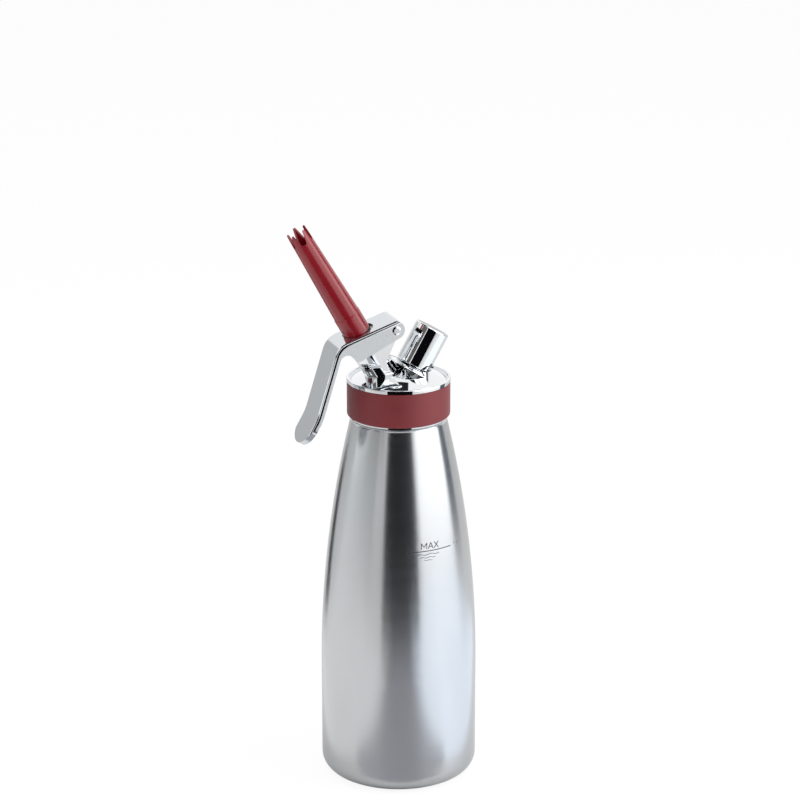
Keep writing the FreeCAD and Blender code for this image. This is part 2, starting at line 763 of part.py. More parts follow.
groove_half = ring_thickness + ring_room
stem_blank = on_tip("stem_blank", [
    (0, nut_bottom - stem_end),
    (stem_thread_radius, nut_bottom - stem_end),
    (stem_thread_radius, seal_bottom),
    (stem_radius, seal_bottom),
    (stem_radius, -ring_depth - groove_half),
    (stem_radius - ring_thickness, -ring_depth - groove_half),
    (stem_radius - ring_thickness, -ring_depth + groove_half),
    (stem_radius, -ring_depth + groove_half),
    (stem_radius, washer_bottom - shoulder_thickness),
    (stem_shoulder, washer_bottom - shoulder_thickness),
    (stem_shoulder, washer_bottom),
    (stem_radius, washer_bottom),
    (stem_radius, stem_top),
    (stem_bore, stem_top),
    (stem_bore, -seat_depth + 1),
    (0, -seat_depth + 1),
])
cross_x, cross_z = on_tip_axis(0, -seat_depth + cross_hole_rise)
cross_hole = rod("cross_hole", cross_hole_radius, stem_radius * 2 + 2,
                 cross_x, stem_radius + 1, cross_z, Vector(1, 0, 0), 90)
cut("valve_stem", stem_blank, cross_hole)

on_tip("thrust_washer", [
    (stem_radius + running_gap, washer_bottom),
    (washer_radius - washer_edge, washer_bottom),
    (washer_radius, washer_bottom + washer_edge),
    (washer_radius, washer_top - washer_edge),
    (washer_radius - washer_edge, washer_top),
    (stem_radius + running_gap, washer_top),
])
on_tip("tip_bumper", [
    (stem_radius + running_gap, washer_top),
    (bumper_radius - bumper_bulge, washer_top, bumper_arc, 1),
    (bumper_radius - bumper_bulge, washer_top + bumper_height),
    (stem_radius + running_gap, washer_top + bumper_height),
])
on_tip("valve_seal", [
    (stem_radius + running_gap, seal_bottom),
    (seal_radius, seal_bottom),
    (seal_radius, -seat_depth),
    (stem_radius + running_gap, -seat_depth),
])
on_tip("seal_cup", [
    (stem_thread_radius + running_gap, seal_bottom - cup_sheet),
    (seal_radius + running_gap + cup_rim, seal_bottom - cup_sheet),
    (seal_radius + running_gap + cup_rim, seal_bottom + seal_height / 2),
    (seal_radius + running_gap, seal_bottom + seal_height / 2),
    (seal_radius + running_gap, seal_bottom),
    (stem_thread_radius + running_gap, seal_bottom),
])

nut_corner = nut_across_flats / cosine(as_size(30)) / 2
nut_blank = doc.addObject("Part::Prism", "nut_blank")
nut_blank.Polygon = 6
nut_blank.setExpression("Circumradius", nut_corner.text)
nut_blank.setExpression("Height", nut_height.text)
nut_x, nut_z = on_tip_axis(0, nut_bottom)
nut_blank.Placement = FreeCAD.Placement(
    Vector(nut_x.value, 0, nut_z.value), FreeCAD.Rotation(Vector(0, -1, 0), tip_tilt.value))
nut_blank.setExpression("Placement.Base.x", nut_x.text)
nut_blank.setExpression("Placement.Base.z", nut_z.text)
nut_blank.setExpression("Placement.Rotation.Angle", tip_tilt.text)
nut_bore = on_tip("nut_bore", [
    (0, nut_bottom - 1),
    (stem_thread_radius + press_gap, nut_bottom - 1),
    (stem_thread_radius + press_gap, nut_top + 1),
    (0, nut_top + 1),
])
cut("seal_nut", nut_blank, nut_bore)

stem_ring = doc.addObject("Part::Torus", "stem_o_ring")
stem_ring.Label = "stem_o_ring"
stem_ring.setExpression("Radius1", stem_radius.text)
stem_ring.setExpression("Radius2", ring_thickness.text)
ring_x, ring_z = on_tip_axis(0, -ring_depth)
stem_ring.Placement = FreeCAD.Placement(
    Vector(ring_x.value, 0, ring_z.value), FreeCAD.Rotation(Vector(0, -1, 0), tip_tilt.value))
stem_ring.setExpression("Placement.Base.x", ring_x.text)
stem_ring.setExpression("Placement.Base.z", ring_z.text)
stem_ring.setExpression("Placement.Rotation.Angle", tip_tilt.text)

on_tip("guide_bush", [
    (stem_radius + running_gap, -bush_bottom),
    (bush_radius - press_gap, -bush_bottom),
    (bush_radius - press_gap, -bush_top),
    (stem_radius + running_gap, -bush_top),
])
on_tip("spring_seat", [
    (stem_radius + spring_seat_gap, -bush_top),
    (chamber_radius - running_gap, -bush_top),
    (chamber_radius - running_gap, -bush_top + spring_seat_height),
    (stem_radius + spring_seat_gap, -bush_top + spring_seat_height),
])

# Spring: one wire on quarter-turn arcs, between its seat and the washer

spring_low = -bush_top + spring_seat_height + spring_wire + seat_gap
spring_high = washer_bottom - spring_wire - seat_gap


def spring_shape():
    radius = spring_radius.value
    rise = (spring_high.value - spring_low.value) / spring_turns.value

    def at(turn):
        angle = 2 * math.pi * turn
        return Vector(radius * math.cos(angle), radius * math.sin(angle), spring_low.value + rise * turn)

    quarters = int(round(spring_turns.value * 4))
    arcs = [Part.Arc(at(q / 4), at(q / 4 + 0.125), at(q / 4 + 0.25)).toShape() for q in range(quarters)]
    path = Part.Wire(arcs)
    heading = arcs[0].tangentAt(arcs[0].FirstParameter)
    section = Part.Wire([Part.Circle(at(0), heading, spring_wire.value).toShape()])
    print("least gap between the spring's turns, mm:", round(rise - 2 * spring_wire.value, 2))
    return path.makePipeShell([section], True, False)


spring = doc.addObject("Part::Feature", "valve_spring")
spring.Label = "valve_spring"
spring.Shape = spring_shape()
spring.Placement = FreeCAD.Placement(
    Vector(foot_x.value, 0, foot_z.value), FreeCAD.Rotation(Vector(0, -1, 0), tip_tilt.value))

# Tip: screwed collar with a spigot, and a tapered decorating tip with a toothed crown

on_tip("tip_collar", [
    (stem_radius + thread_clearance, collar_bottom),
    (collar_radius - collar_chamfer, collar_bottom),
    (collar_radius, collar_bottom + collar_chamfer),
    (collar_radius, collar_top - collar_chamfer),
    (collar_radius - collar_chamfer / 2, collar_top),
    (spigot_radius, collar_top),
    (spigot_radius, spigot_top),
    (stem_radius, spigot_top),
    (stem_radius, stem_top + 1),
    (stem_radius + thread_clearance, stem_top + 1),
])
slope = (tip_base_radius - tip_end_radius) / (crown_base - collar_top)
tip_blank = on_tip("decorator_tip", [
    (spigot_radius + running_gap, collar_top),
    (tip_base_radius, collar_top),
    (tip_end_radius, crown_base),
    (tip_end_radius - tooth_length * slope, crown_top),
    (tip_end_radius - tip_wall, crown_top),
    (tip_end_radius - tip_wall, crown_base),
    (tip_base_radius - tip_foot_wall, spigot_top + running_gap),
    (spigot_radius + running_gap, spigot_top + running_gap),
])
doc.recompute()
slot_sketch = outline(tip_blank, "XZ_Plane", [
    (-slot_floor_width / 2, crown_base),
    (slot_floor_width / 2, crown_base),
    (slot_mouth_width / 2, crown_top + 0.5),
    (-slot_mouth_width / 2, crown_top + 0.5),
], "slot_outline")
slot_sketch.AttachmentOffset = FreeCAD.Placement(
    Vector(0, 0, 0), FreeCAD.Rotation(Vector(0, 1, 0), slot_phase.value + 90))
slot = tip_blank.newObject("PartDesign::Pocket", "slot")
slot.Profile = slot_sketch
slot.Reversed = True
slot.Length = tip_base_radius.value * 2
slot.setExpression("Length", (tip_base_radius * 2).text)
doc.recompute()
slots = tip_blank.newObject("PartDesign::PolarPattern", "slots")
slots.Originals = [slot]
slots.Axis = (origin_plane(tip_blank, "Z_Axis"), [""])
slots.Angle = 360
slots.Occurrences = int(tooth_count.value)
slots.setExpression("Occurrences", tooth_count.text)
tip_blank.Tip = slots

# Gas inlet: threaded nipple with the piercing needle inside, under a screwed cap


def on_inlet(label, corners):
    """Turned piece of the gas inlet, stood on the inlet's axis."""
    body = turned(label, corners)
    tilt_about_y(body, inlet_x, inlet_z, inlet_tilt, 1)
    return body


on_inlet("inlet_nipple", [
    (gas_bore, spigot_bottom),
    (nipple_spigot, spigot_bottom),
    (nipple_spigot, boss_top),
    (nipple_radius - nipple_edge, boss_top),
    (nipple_radius, boss_top + nipple_edge),
    (nipple_radius, nipple_top - nipple_edge),
    (nipple_radius - nipple_edge, nipple_top),
    (nipple_bore, nipple_top),
    (nipple_bore, nipple_floor),
    (gas_bore, nipple_floor),
])
holder_top = nipple_floor + holder_height
on_inlet("needle_holder", [
    (needle_radius + press_gap, nipple_floor),
    (nipple_bore - running_gap, nipple_floor),
    (nipple_bore - running_gap, holder_top),
    (needle_radius + press_gap, holder_top),
])
on_inlet("piercing_needle", [
    (0, nipple_floor),
    (needle_radius, nipple_floor),
    (needle_radius, holder_top + needle_length - needle_point),
    (0, holder_top + needle_length),
])
on_inlet("inlet_seal", [
    (inlet_seal_bore, holder_top),
    (nipple_bore - inlet_seal_gap, holder_top),
    (nipple_bore - inlet_seal_gap, holder_top + inlet_seal_height),
    (inlet_seal_bore, holder_top + inlet_seal_height),
])
on_inlet("inlet_cap", [
    (cap_bore, cap_bottom),
    (cap_radius - cap_edge, cap_bottom),
    (cap_radius, cap_bottom + cap_edge),
    (cap_radius, cap_top - cap_corner, cap_corner, 1),
    (cap_radius - cap_corner, cap_top),
    (0, cap_top),
    (0, cap_top - cap_wall),
    (cap_bore, cap_top - cap_wall),
])

doc.recompute()

NODES = [
    "bottle", "head_gasket", "head_body", "grip_ring", "lever_pin", "lever", "valve_stem",
    "thrust_washer", "tip_bumper", "valve_seal", "seal_cup", "seal_nut", "stem_o_ring",
    "guide_bush", "spring_seat", "valve_spring", "tip_collar", "decorator_tip",
    "inlet_nipple", "needle_holder", "piercing_needle", "inlet_seal", "inlet_cap",
]

for item in doc.Objects:
    if "Invalid" in item.State or "Error" in item.State:
        raise RuntimeError(f"{item.Label} did not rebuild: {item.State}")

pieces = {}
for label in NODES:
    shape = doc.getObjectsByLabel(label)[0].Shape
    if shape.isNull() or not shape.isValid() or len(shape.Solids) != 1:
        raise RuntimeError(f"{label} is not one valid solid")
    pieces[label] = shape
    print(label, "volume", round(shape.Volume, 1))

os.makedirs("parts", exist_ok=True)
for label, shape in pieces.items():
    shape.exportStep(f"parts/{label}.step")
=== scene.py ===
# %% [markdown]
# A whipped cream dispenser, dressed for its portrait.
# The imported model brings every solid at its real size: bottle, head, lever, valve, tip and cap.
# This lesson gives each of them its finish, sets them in a white studio, turns the head again in
# finer steps and etches the fill line. Places are in metres, and MM turns millimetres to them.

# %% Load the frame
import json
import math

import bpy
from mathutils import Matrix, Vector


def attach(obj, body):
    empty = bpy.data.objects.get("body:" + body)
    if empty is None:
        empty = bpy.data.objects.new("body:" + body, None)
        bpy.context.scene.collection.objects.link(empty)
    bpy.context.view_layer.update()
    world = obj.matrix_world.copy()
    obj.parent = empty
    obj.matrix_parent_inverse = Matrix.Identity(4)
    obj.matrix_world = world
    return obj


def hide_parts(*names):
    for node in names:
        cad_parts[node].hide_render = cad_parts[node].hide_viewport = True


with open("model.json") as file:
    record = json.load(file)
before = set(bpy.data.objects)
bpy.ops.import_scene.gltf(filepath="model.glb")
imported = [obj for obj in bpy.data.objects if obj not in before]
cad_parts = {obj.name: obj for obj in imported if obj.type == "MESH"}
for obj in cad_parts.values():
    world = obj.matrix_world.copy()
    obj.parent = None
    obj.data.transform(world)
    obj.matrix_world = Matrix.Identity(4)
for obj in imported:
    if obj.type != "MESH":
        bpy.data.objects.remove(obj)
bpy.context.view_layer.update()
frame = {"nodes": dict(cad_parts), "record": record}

MM = 0.001

# %% [markdown]
# The camera comes first, because every later choice is judged through it. It was found by
# fitting the bottle's outline in the photograph: 1.8 m away, 17.5 degrees above the horizon and
# 20.5 degrees round from the side view. A long lens keeps the bottle's sides almost parallel.

# %% Place the camera
CAMERA_DISTANCE = 1.8  # m
CAMERA_RISE = math.radians(17.5)
CAMERA_TURN = math.radians(20.5)
AIM_HEIGHT = 0.2398  # m above the table, at the middle of the picture
AIM_SHIFT = 0.00087  # m to the camera's right
PIXELS_PER_MM = 1.647  # at the bottle's axis
IMAGE_SIDE = 800  # pixels
SENSOR = 36  # mm


def camera_axes():
    """Unit vectors towards the camera, to its right and up."""
    back = Vector((-math.sin(CAMERA_TURN) * math.cos(CAMERA_RISE),
                   -math.cos(CAMERA_TURN) * math.cos(CAMERA_RISE), math.sin(CAMERA_RISE)))
    right = Vector((math.cos(CAMERA_TURN), -math.sin(CAMERA_TURN), 0))
    return back, right, back.cross(right)


TO_CAMERA, TO_RIGHT, TO_TOP = camera_axes()
camera_data = bpy.data.cameras.new("portrait_lens")
camera_data.sensor_width = SENSOR
camera_data.lens = SENSOR * PIXELS_PER_MM * CAMERA_DISTANCE / MM / IMAGE_SIDE
camera = bpy.data.objects.new("portrait_camera", camera_data)
bpy.context.scene.collection.objects.link(camera)
place = Vector((0, 0, AIM_HEIGHT)) + TO_RIGHT * AIM_SHIFT + TO_CAMERA * CAMERA_DISTANCE
turn = Matrix((TO_RIGHT, TO_TOP, TO_CAMERA)).transposed().to_4x4()
camera.matrix_world = Matrix.Translation(place) @ turn
bpy.context.scene.camera = camera
bpy.context.scene.view_settings.view_transform = "Standard"
print("lens, mm:", round(camera_data.lens, 1))

# %% [markdown]
# Every finish below is a node material. Colours are written as the hex values that an eye reads
# off a screen, and one function turns them to the linear values that the renderer works in.
# A second small function adds a node, sets its values and joins it to what feeds it.

# %% Helpers for nodes


def linear(hex_colour):
    """sRGB hex value to linear RGBA."""
    channels = [int(hex_colour[i:i + 2], 16) / 255 for i in (1, 3, 5)]
    bright = [c / 12.92 if c <= 0.04045 else ((c + 0.055) / 1.055) ** 2.4 for c in channels]
    return bright + [1.0]


def with_nodes(owner):
    """Switch on the node tree of a material or world, and empty it."""
    owner.use_nodes = True
    owner.node_tree.nodes.clear()
    return owner


def add_node(owner, kind, links=None, **settings):
    """Add one node; a setting is an attribute or an input socket, links feed its inputs."""
    node = owner.node_tree.nodes.new(kind)
    for name, value in settings.items():
        socket = node.inputs.get(name.replace("_", " "))
        if socket is not None:
            socket.default_value = value
        else:
            setattr(node, name, value)
    for name, source in (links or {}).items():
        owner.node_tree.links.new(source, node.inputs[name])
    return node


def new_finish(name, **settings):
    """Material with one Principled shader; returns it with the shader."""
    material = with_nodes(bpy.data.materials.new(name))
    shader = add_node(material, "ShaderNodeBsdfPrincipled")
    for socket, value in settings.items():
        shader.inputs[socket.replace("_", " ")].default_value = value
    add_node(material, "ShaderNodeOutputMaterial", {"Surface": shader.outputs["BSDF"]})
    return material, shader


# %% [markdown]
# No real surface is even, so noise drives the roughness, the colour and the relief of each
# finish. Its size is given in millimetres on the object. One helper makes the noise, and three
# more lead it into the shader: roughen for gloss, mottle for colour and bump for relief.

# %% Helpers for uneven surfaces
NOISE_LOW, NOISE_HIGH = 0.3, 0.7  # nearly all of a noise lies between these
MIX_FACTOR, MIX_FIRST, MIX_SECOND, MIX_RESULT = 0, 6, 7, 2  # sockets of a colour mix


def noise(material, grain, detail=2.0):
    """Noise on Object coordinates; grain is its size in mm, one number or one per axis."""
    grains = grain if isinstance(grain, tuple) else (grain, grain, grain)
    where = add_node(material, "ShaderNodeTexCoord")
    mapping = add_node(material, "ShaderNodeMapping", {"Vector": where.outputs["Object"]},
                       Scale=[1 / (size * MM) for size in grains])
    texture = add_node(material, "ShaderNodeTexNoise", {"Vector": mapping.outputs["Vector"]},
                       Scale=1.0, Detail=detail, Roughness=0.5)
    return texture.outputs["Fac"]


def spread(material, source, low, high):
    """Map a noise to a range of values."""
    return add_node(material, "ShaderNodeMapRange", {"Value": source}, From_Min=NOISE_LOW,
                    From_Max=NOISE_HIGH, To_Min=low, To_Max=high).outputs["Result"]


def feed(material, shader, socket, source):
    material.node_tree.links.new(source, shader.inputs[socket])


def roughen(material, shader, source, low, high):
    """Let the roughness wander between two values."""
    feed(material, shader, "Roughness", spread(material, source, low, high))


def mottle(material, shader, source, first, second):
    """Let the colour wander between two hex values."""
    mix = add_node(material, "ShaderNodeMix", data_type="RGBA")
    mix.inputs[MIX_FIRST].default_value = linear(first)
    mix.inputs[MIX_SECOND].default_value = linear(second)
    factor = spread(material, source, 0.0, 1.0)
    material.node_tree.links.new(factor, mix.inputs[MIX_FACTOR])
    feed(material, shader, "Base Color", mix.outputs[MIX_RESULT])


def bump(material, shader, source, strength, depth):
    """Raise and sink the surface by a depth in mm."""
    relief = add_node(material, "ShaderNodeBump", {"Height": source}, Strength=strength,
                      Distance=depth * MM)
    feed(material, shader, "Normal", relief.outputs["Normal"])


# %% [markdown]
# The bottle is deep-drawn stainless steel, satin brushed on a lathe. The brushing runs round the
# bottle in fine lines, so reflections smear up and down and stay crisp sideways: that is what
# makes the long vertical bands of light. An anisotropic shader with a tangent round the Z axis
# gives it. Real lines are about 0.1 mm apart; here they are 0.4 mm apart, coarse enough to show.

# %% Brushed steel
BRUSH_LINE = 0.4  # mm
BRUSH_LENGTH = 33.33  # mm, how far a line runs before it changes
CLOUD = (40, 40, 125)  # mm, slow drifts of tone, longer up the bottle


def brushed_steel():
    material, shader = new_finish(
        "brushed_stainless_steel", Base_Color=linear("#c4c6c8"), Metallic=1.0, Roughness=0.25,
        Anisotropic=0.7, Anisotropic_Rotation=0.25)
    lines = noise(material, (BRUSH_LENGTH, BRUSH_LENGTH, BRUSH_LINE), detail=3.0)
    roughen(material, shader, lines, 0.22, 0.27)
    mottle(material, shader, noise(material, CLOUD), "#c0c2c4", "#c9cbcd")
    tangent = add_node(material, "ShaderNodeTangent", direction_type="RADIAL", axis="Z")
    feed(material, shader, "Tangent", tangent.outputs["Tangent"])
    return material


STEEL = brushed_steel()
print("finish:", STEEL.name)

# %% [markdown]
# The head and the cap are polished to a mirror, and the pressed lever a little less. A perfect
# mirror looks computed, so the polish gets a very slow waviness, as buffing leaves it, and a
# faint change in roughness and tone.

# %% Mirror polish
HAZE = 16.67  # mm
BUFFING_WAVE = 11.11  # mm
BUFFING_DEPTH = 0.15  # mm


def mirror_polish(name, light, dark, low, high, wave):
    material, shader = new_finish(name, Base_Color=linear(light), Metallic=1.0, Roughness=low)
    haze = noise(material, HAZE, detail=3.0)
    roughen(material, shader, haze, low, high)
    mottle(material, shader, haze, light, dark)
    bump(material, shader, noise(material, BUFFING_WAVE, detail=1.0), wave, BUFFING_DEPTH)
    return material


MIRROR = mirror_polish("polished_stainless_head", "#e5e7e9", "#e2e4e6", 0.03, 0.05, 0.04)
LEVER_POLISH = mirror_polish("polished_pressed_lever", "#d0d3d6", "#cdd0d3", 0.09, 0.13, 0.03)
print("finishes:", MIRROR.name, LEVER_POLISH.name)

# %% [markdown]
# Silicone and moulded plastic are told apart by their gloss. The grip ring is satin silicone: a
# soft wide sheen and a fine grain. The tip is a glossy moulding with a thin hard highlight, and
# its colour drifts along the way that the plastic flowed into the mould. The guide bush and the
# spring seat inside are white acetal, the same moulding with less gloss.

# %% Red silicone, red plastic and acetal
SILICONE_GRAIN, SILICONE_TONE = 0.4, 25  # mm
FLOW_MARK = (14.29, 14.29, 40)  # mm
MOULD_SKIN = 4  # mm


def silicone():
    material, shader = new_finish(
        "dark_red_silicone", Base_Color=linear("#7d1a22"), Roughness=0.5, Sheen_Weight=0.12,
        Sheen_Roughness=0.4, Specular_IOR_Level=0.5)
    tone = noise(material, SILICONE_TONE)
    roughen(material, shader, tone, 0.46, 0.56)
    mottle(material, shader, tone, "#781820", "#821c25")
    bump(material, shader, noise(material, SILICONE_GRAIN), 0.10, 0.05)
    return material


def moulded_plastic(name, dark, light, gloss):
    material, shader = new_finish(name, Base_Color=linear(dark), Roughness=gloss,
                                  Coat_Weight=0.15, Coat_Roughness=0.12)
    flow = noise(material, FLOW_MARK)
    roughen(material, shader, flow, gloss - 0.04, gloss + 0.05)
    mottle(material, shader, flow, dark, light)
    bump(material, shader, noise(material, MOULD_SKIN, detail=1.0), 0.02, 0.1)
    return material


SILICONE = silicone()
RED_PLASTIC = moulded_plastic("dark_red_moulded_plastic", "#8a101e", "#941523", 0.2)
ACETAL = moulded_plastic("natural_acetal", "#d8d7d0", "#e2e1da", 0.4)
print("finishes:", SILICONE.name, RED_PLASTIC.name, ACETAL.name)

# %% [markdown]
# The small pieces inside are turned metal and moulded rubber. They show only through gaps, or
# with the head off, yet each has its own grain: matt nitrile for the seals and the bumper ring,
# and fine tool marks on the turned steel and brass.

# %% Rubber and turned metal
RUBBER_GRAIN = 0.3333  # mm
TOOL_MARK = 0.4545  # mm


def rubber():
    material, shader = new_finish("black_nitrile_rubber", Base_Color=linear("#17181a"),
                                  Roughness=0.55)
    grain = noise(material, RUBBER_GRAIN)
    roughen(material, shader, grain, 0.45, 0.65)
    mottle(material, shader, grain, "#141517", "#1c1d1f")
    bump(material, shader, grain, 0.2, 0.05)
    return material


def turned_metal(name, light, dark):
    material, shader = new_finish(name, Base_Color=linear(light), Metallic=1.0, Roughness=0.25)
    marks = noise(material, TOOL_MARK)
    roughen(material, shader, marks, 0.2, 0.34)
    mottle(material, shader, marks, light, dark)
    bump(material, shader, marks, 0.08, 0.04)
    return material


RUBBER = rubber()
TURNED_STEEL = turned_metal("turned_stainless_steel", "#c2c4c6", "#babcbe")
BRASS = turned_metal("turned_brass", "#ccab5f", "#c4a357")
print("finishes:", RUBBER.name, TURNED_STEEL.name, BRASS.name)

# %% [markdown]
# The record gives each solid a material slot, as a maker's parts list would. So a finish is
# chosen once for each slot, and every solid finds its own through it.

# %% Dress the solids
FINISHES = {
    "brushed_steel": STEEL, "polished_head": MIRROR, "polished_steel": LEVER_POLISH,
    "turned_steel": TURNED_STEEL, "turned_brass": BRASS, "grip_silicone": SILICONE,
    "seal_rubber": RUBBER, "red_plastic": RED_PLASTIC, "bearing_plastic": ACETAL,
}
SLOT_OF = {part["node"]: part["material_slot"] for part in frame["record"]["subparts"]}


def dress(piece, material):
    piece.data.materials.clear()
    piece.data.materials.append(material)


for node_name, node_object in frame["nodes"].items():
    dress(node_object, FINISHES[SLOT_OF[node_name]])
print("finishes:", len(FINISHES), "for nodes:", len(frame["nodes"]))

# %% [markdown]
# The object stands on plain white. The floor and the world glow for the camera's own rays alone,
# by Light Path, so no lamp has to be turned up to bleach them. Part of the floor stays paper to
# the camera too, which keeps the contact shadow. Mirrors also see the world white.

# %% Floor and world
FLOOR_SIDE = 8  # m
FLOOR_DROP = 0.0002  # m below the foot, so that the two never share a plane
FLOOR_GLOW, FLOOR_SHARE = 1.06, 0.85
WORLD_PLAIN, WORLD_WHITE = 0.55, 1.12


def either(owner, first, second):
    """1 for a ray that is of one kind or the other."""
    larger = add_node(owner, "ShaderNodeMath", {0: first, 1: second}, operation="MAXIMUM")
    return larger.outputs[0]


def white_floor():
    bpy.ops.object.select_all(action="DESELECT")
    bpy.ops.mesh.primitive_plane_add(size=FLOOR_SIDE, location=(0, 0, -FLOOR_DROP))
    floor = bpy.context.object
    floor.name = "studio_floor"
    material = with_nodes(bpy.data.materials.new("white_floor"))
    paper = add_node(material, "ShaderNodeBsdfDiffuse", Color=linear("#f4f4f4"))
    glow = add_node(material, "ShaderNodeEmission", Color=linear("#ffffff"), Strength=FLOOR_GLOW)
    rays = add_node(material, "ShaderNodeLightPath").outputs
    seen = either(material, rays["Is Camera Ray"], rays["Is Transmission Ray"])
    share = add_node(material, "ShaderNodeMath", {0: seen}, operation="MULTIPLY")
    share.inputs[1].default_value = FLOOR_SHARE
    mix = add_node(material, "ShaderNodeMixShader",
                   {0: share.outputs[0], 1: paper.outputs[0], 2: glow.outputs[0]})
    add_node(material, "ShaderNodeOutputMaterial", {"Surface": mix.outputs[0]})
    dress(floor, material)


def white_world():
    world = with_nodes(bpy.data.worlds.new("white_studio"))
    bpy.context.scene.world = world
    rays = add_node(world, "ShaderNodeLightPath").outputs
    seen = either(world, rays["Is Camera Ray"], rays["Is Glossy Ray"])
    seen = either(world, seen, rays["Is Transmission Ray"])
    strength = add_node(world, "ShaderNodeMapRange", {"Value": seen}, To_Min=WORLD_PLAIN,
                        To_Max=WORLD_WHITE)
    sky = add_node(world, "ShaderNodeBackground", {"Strength": strength.outputs["Result"]},
                   Color=linear("#ffffff"))
    add_node(world, "ShaderNodeOutputWorld", {"Surface": sky.outputs[0]})


white_floor()
white_world()
print("floor side, m:", FLOOR_SIDE)

# %% [markdown]
# Metal shows what stands round it. The photograph's bands say what that was: a wide white soft
# box to the right, a greyer wall to the left, and a dark gap between them where the camera
# stood. Lamps light the object, and cards that only reflections see draw the bands. Three cards
# lie on the floor for the lower half of the bottle, and one hangs overhead for the dark line
# along the lever's edge.

# %% Lamps and cards
LAMP_AIM = 0.2  # m above the table
LAMPS = (  # name, degrees from the camera's side, distance, height, width, tall in m, watts
    ("right_soft_box", 78, 1.3, 0.75, 1.2, 1.6, 11),
    ("left_soft_box", -85, 1.5, 0.8, 1.0, 1.6, 5),
    ("top_soft_box", 10, 0.3, 1.6, 1.2, 1.2, 4),
)
CARDS = (  # as above, then its colour and how bright it is
    ("camera_gap", 3, 0.36, 0.3, 0.36, 0.6, "#0c0c0e", 1.0),
    ("left_wall", -80, 1.7, 0.25, 2.6, 1.3, "#d5d8d8", 1.0),
    ("left_room", -68, 1.5, 1.08, 2.4, 1.3, "#6a6865", 1.0),
    ("left_gap", -134, 0.35, 0.07, 0.09, 0.16, "#1c1c20", 1.0),
    ("right_gap", 111, 0.8, 0.3, 0.26, 0.8, "#5b6470", 1.0),
    ("right_white", 64, 1.4, 0.6, 1.5, 1.8, "#ffffff", 1.9),
    ("back_left", -133, 1.6, 0.42, 0.9, 0.7, "#d0d1d2", 1.0),
)
LEVEL_CARDS = (
    ("dark_ceiling", -90, 0.45, 1.35, 1.25, 1.25, "#26272b", 1.0),
    ("right_floor", 66, 0.38, 0.0004, 0.6, 0.6, "#e9f0fa", 1.5),
    ("left_floor", -80, 0.36, 0.0006, 0.5, 0.56, "#ffffff", 1.02),
    ("front_floor", 3, 0.205, 0.0008, 0.16, 0.3, "#b4b5ba", 1.0),
)


def around(azimuth, distance, height):
    """Point round the bottle; azimuth 0 is the camera's side, positive to the camera's right."""
    angle = math.radians(azimuth)
    front = Vector((TO_CAMERA.x, TO_CAMERA.y, 0)).normalized()
    outward = front * math.cos(angle) + TO_RIGHT * math.sin(angle)
    return outward * distance + Vector((0, 0, height))


def soft_box(name, azimuth, distance, height, width, tall, watts):
    lamp = bpy.data.lights.new(name, "AREA")
    lamp.shape = "RECTANGLE"
    lamp.size = width
    lamp.size_y = tall
    lamp.energy = watts
    box = bpy.data.objects.new(name, lamp)
    bpy.context.scene.collection.objects.link(box)
    box.location = around(azimuth, distance, height)
    aim = Vector((0, 0, LAMP_AIM)) - box.location
    box.rotation_euler = aim.to_track_quat("-Z", "Y").to_euler()


def card(name, azimuth, distance, height, width, tall, hex_colour, strength, level=False):
    """Card that only mirrors see: it stands facing the bottle's axis, or lies level."""
    bpy.ops.object.select_all(action="DESELECT")
    bpy.ops.mesh.primitive_plane_add(size=1, location=around(azimuth, distance, height))
    board = bpy.context.object
    board.name = name
    board.scale = (width, tall, 1)
    inward = Vector((0, 0, height)) - board.location
    if level:
        board.rotation_euler = (0, 0, math.atan2(inward.y, inward.x) - math.pi / 2)
    else:
        board.rotation_euler = inward.to_track_quat("Z", "Y").to_euler()
    material = with_nodes(bpy.data.materials.new(name))
    glow = add_node(material, "ShaderNodeEmission", Color=linear(hex_colour), Strength=strength)
    add_node(material, "ShaderNodeOutputMaterial", {"Surface": glow.outputs[0]})
    dress(board, material)
    board.visible_camera = False
    board.visible_diffuse = False
    board.visible_shadow = False
    board.visible_transmission = False


for row in LAMPS:
    soft_box(*row)
for row in CARDS:
    card(*row)
for row in LEVEL_CARDS:
    card(*row, level=True)
print("lamps:", len(LAMPS), "cards:", len(CARDS) + len(LEVEL_CARDS))

# %% [markdown]
# The real head is a casting whose valve tower is round in front, where the solid model keeps a
# flat slab. So the head is turned again here, piece by piece, with finer steps for its mirror
# finish. Most of it is round, so a half section spun about an axis makes it, as a lathe would.
# Only the lug behind the tower is flat, and an extruded outline makes that.

# %% Tools for turning and cutting
LATHE_STEPS = 192
WELD = 0.0005  # mm, closes the seam of a turned piece


def select_only(piece):
    bpy.ops.object.select_all(action="DESELECT")
    piece.select_set(True)
    bpy.context.view_layer.objects.active = piece


def arc(start, end, radius, side, steps):
    """Points after start up to end on an arc; side is 1 if its centre lies left of the way."""
    start, end = Vector(start), Vector(end)
    chord = end - start
    left = Vector((-chord.y, chord.x)).normalized()
    rise = math.sqrt(max(radius ** 2 - chord.length ** 2 / 4, 0))
    centre = (start + end) / 2 + left * side * rise
    spoke = start - centre
    sweep = spoke.angle_signed(end - centre, 0.0)
    points = []
    for i in range(1, steps + 1):
        angle = -sweep * i / steps
        points.append((centre.x + spoke.x * math.cos(angle) - spoke.y * math.sin(angle),
                       centre.y + spoke.x * math.sin(angle) + spoke.y * math.cos(angle)))
    return points


def new_piece(name, vertices, edges, faces):
    mesh = bpy.data.meshes.new(name)
    mesh.from_pydata(vertices, edges, faces)
    piece = bpy.data.objects.new(name, mesh)
    bpy.context.scene.collection.objects.link(piece)
    select_only(piece)
    return piece


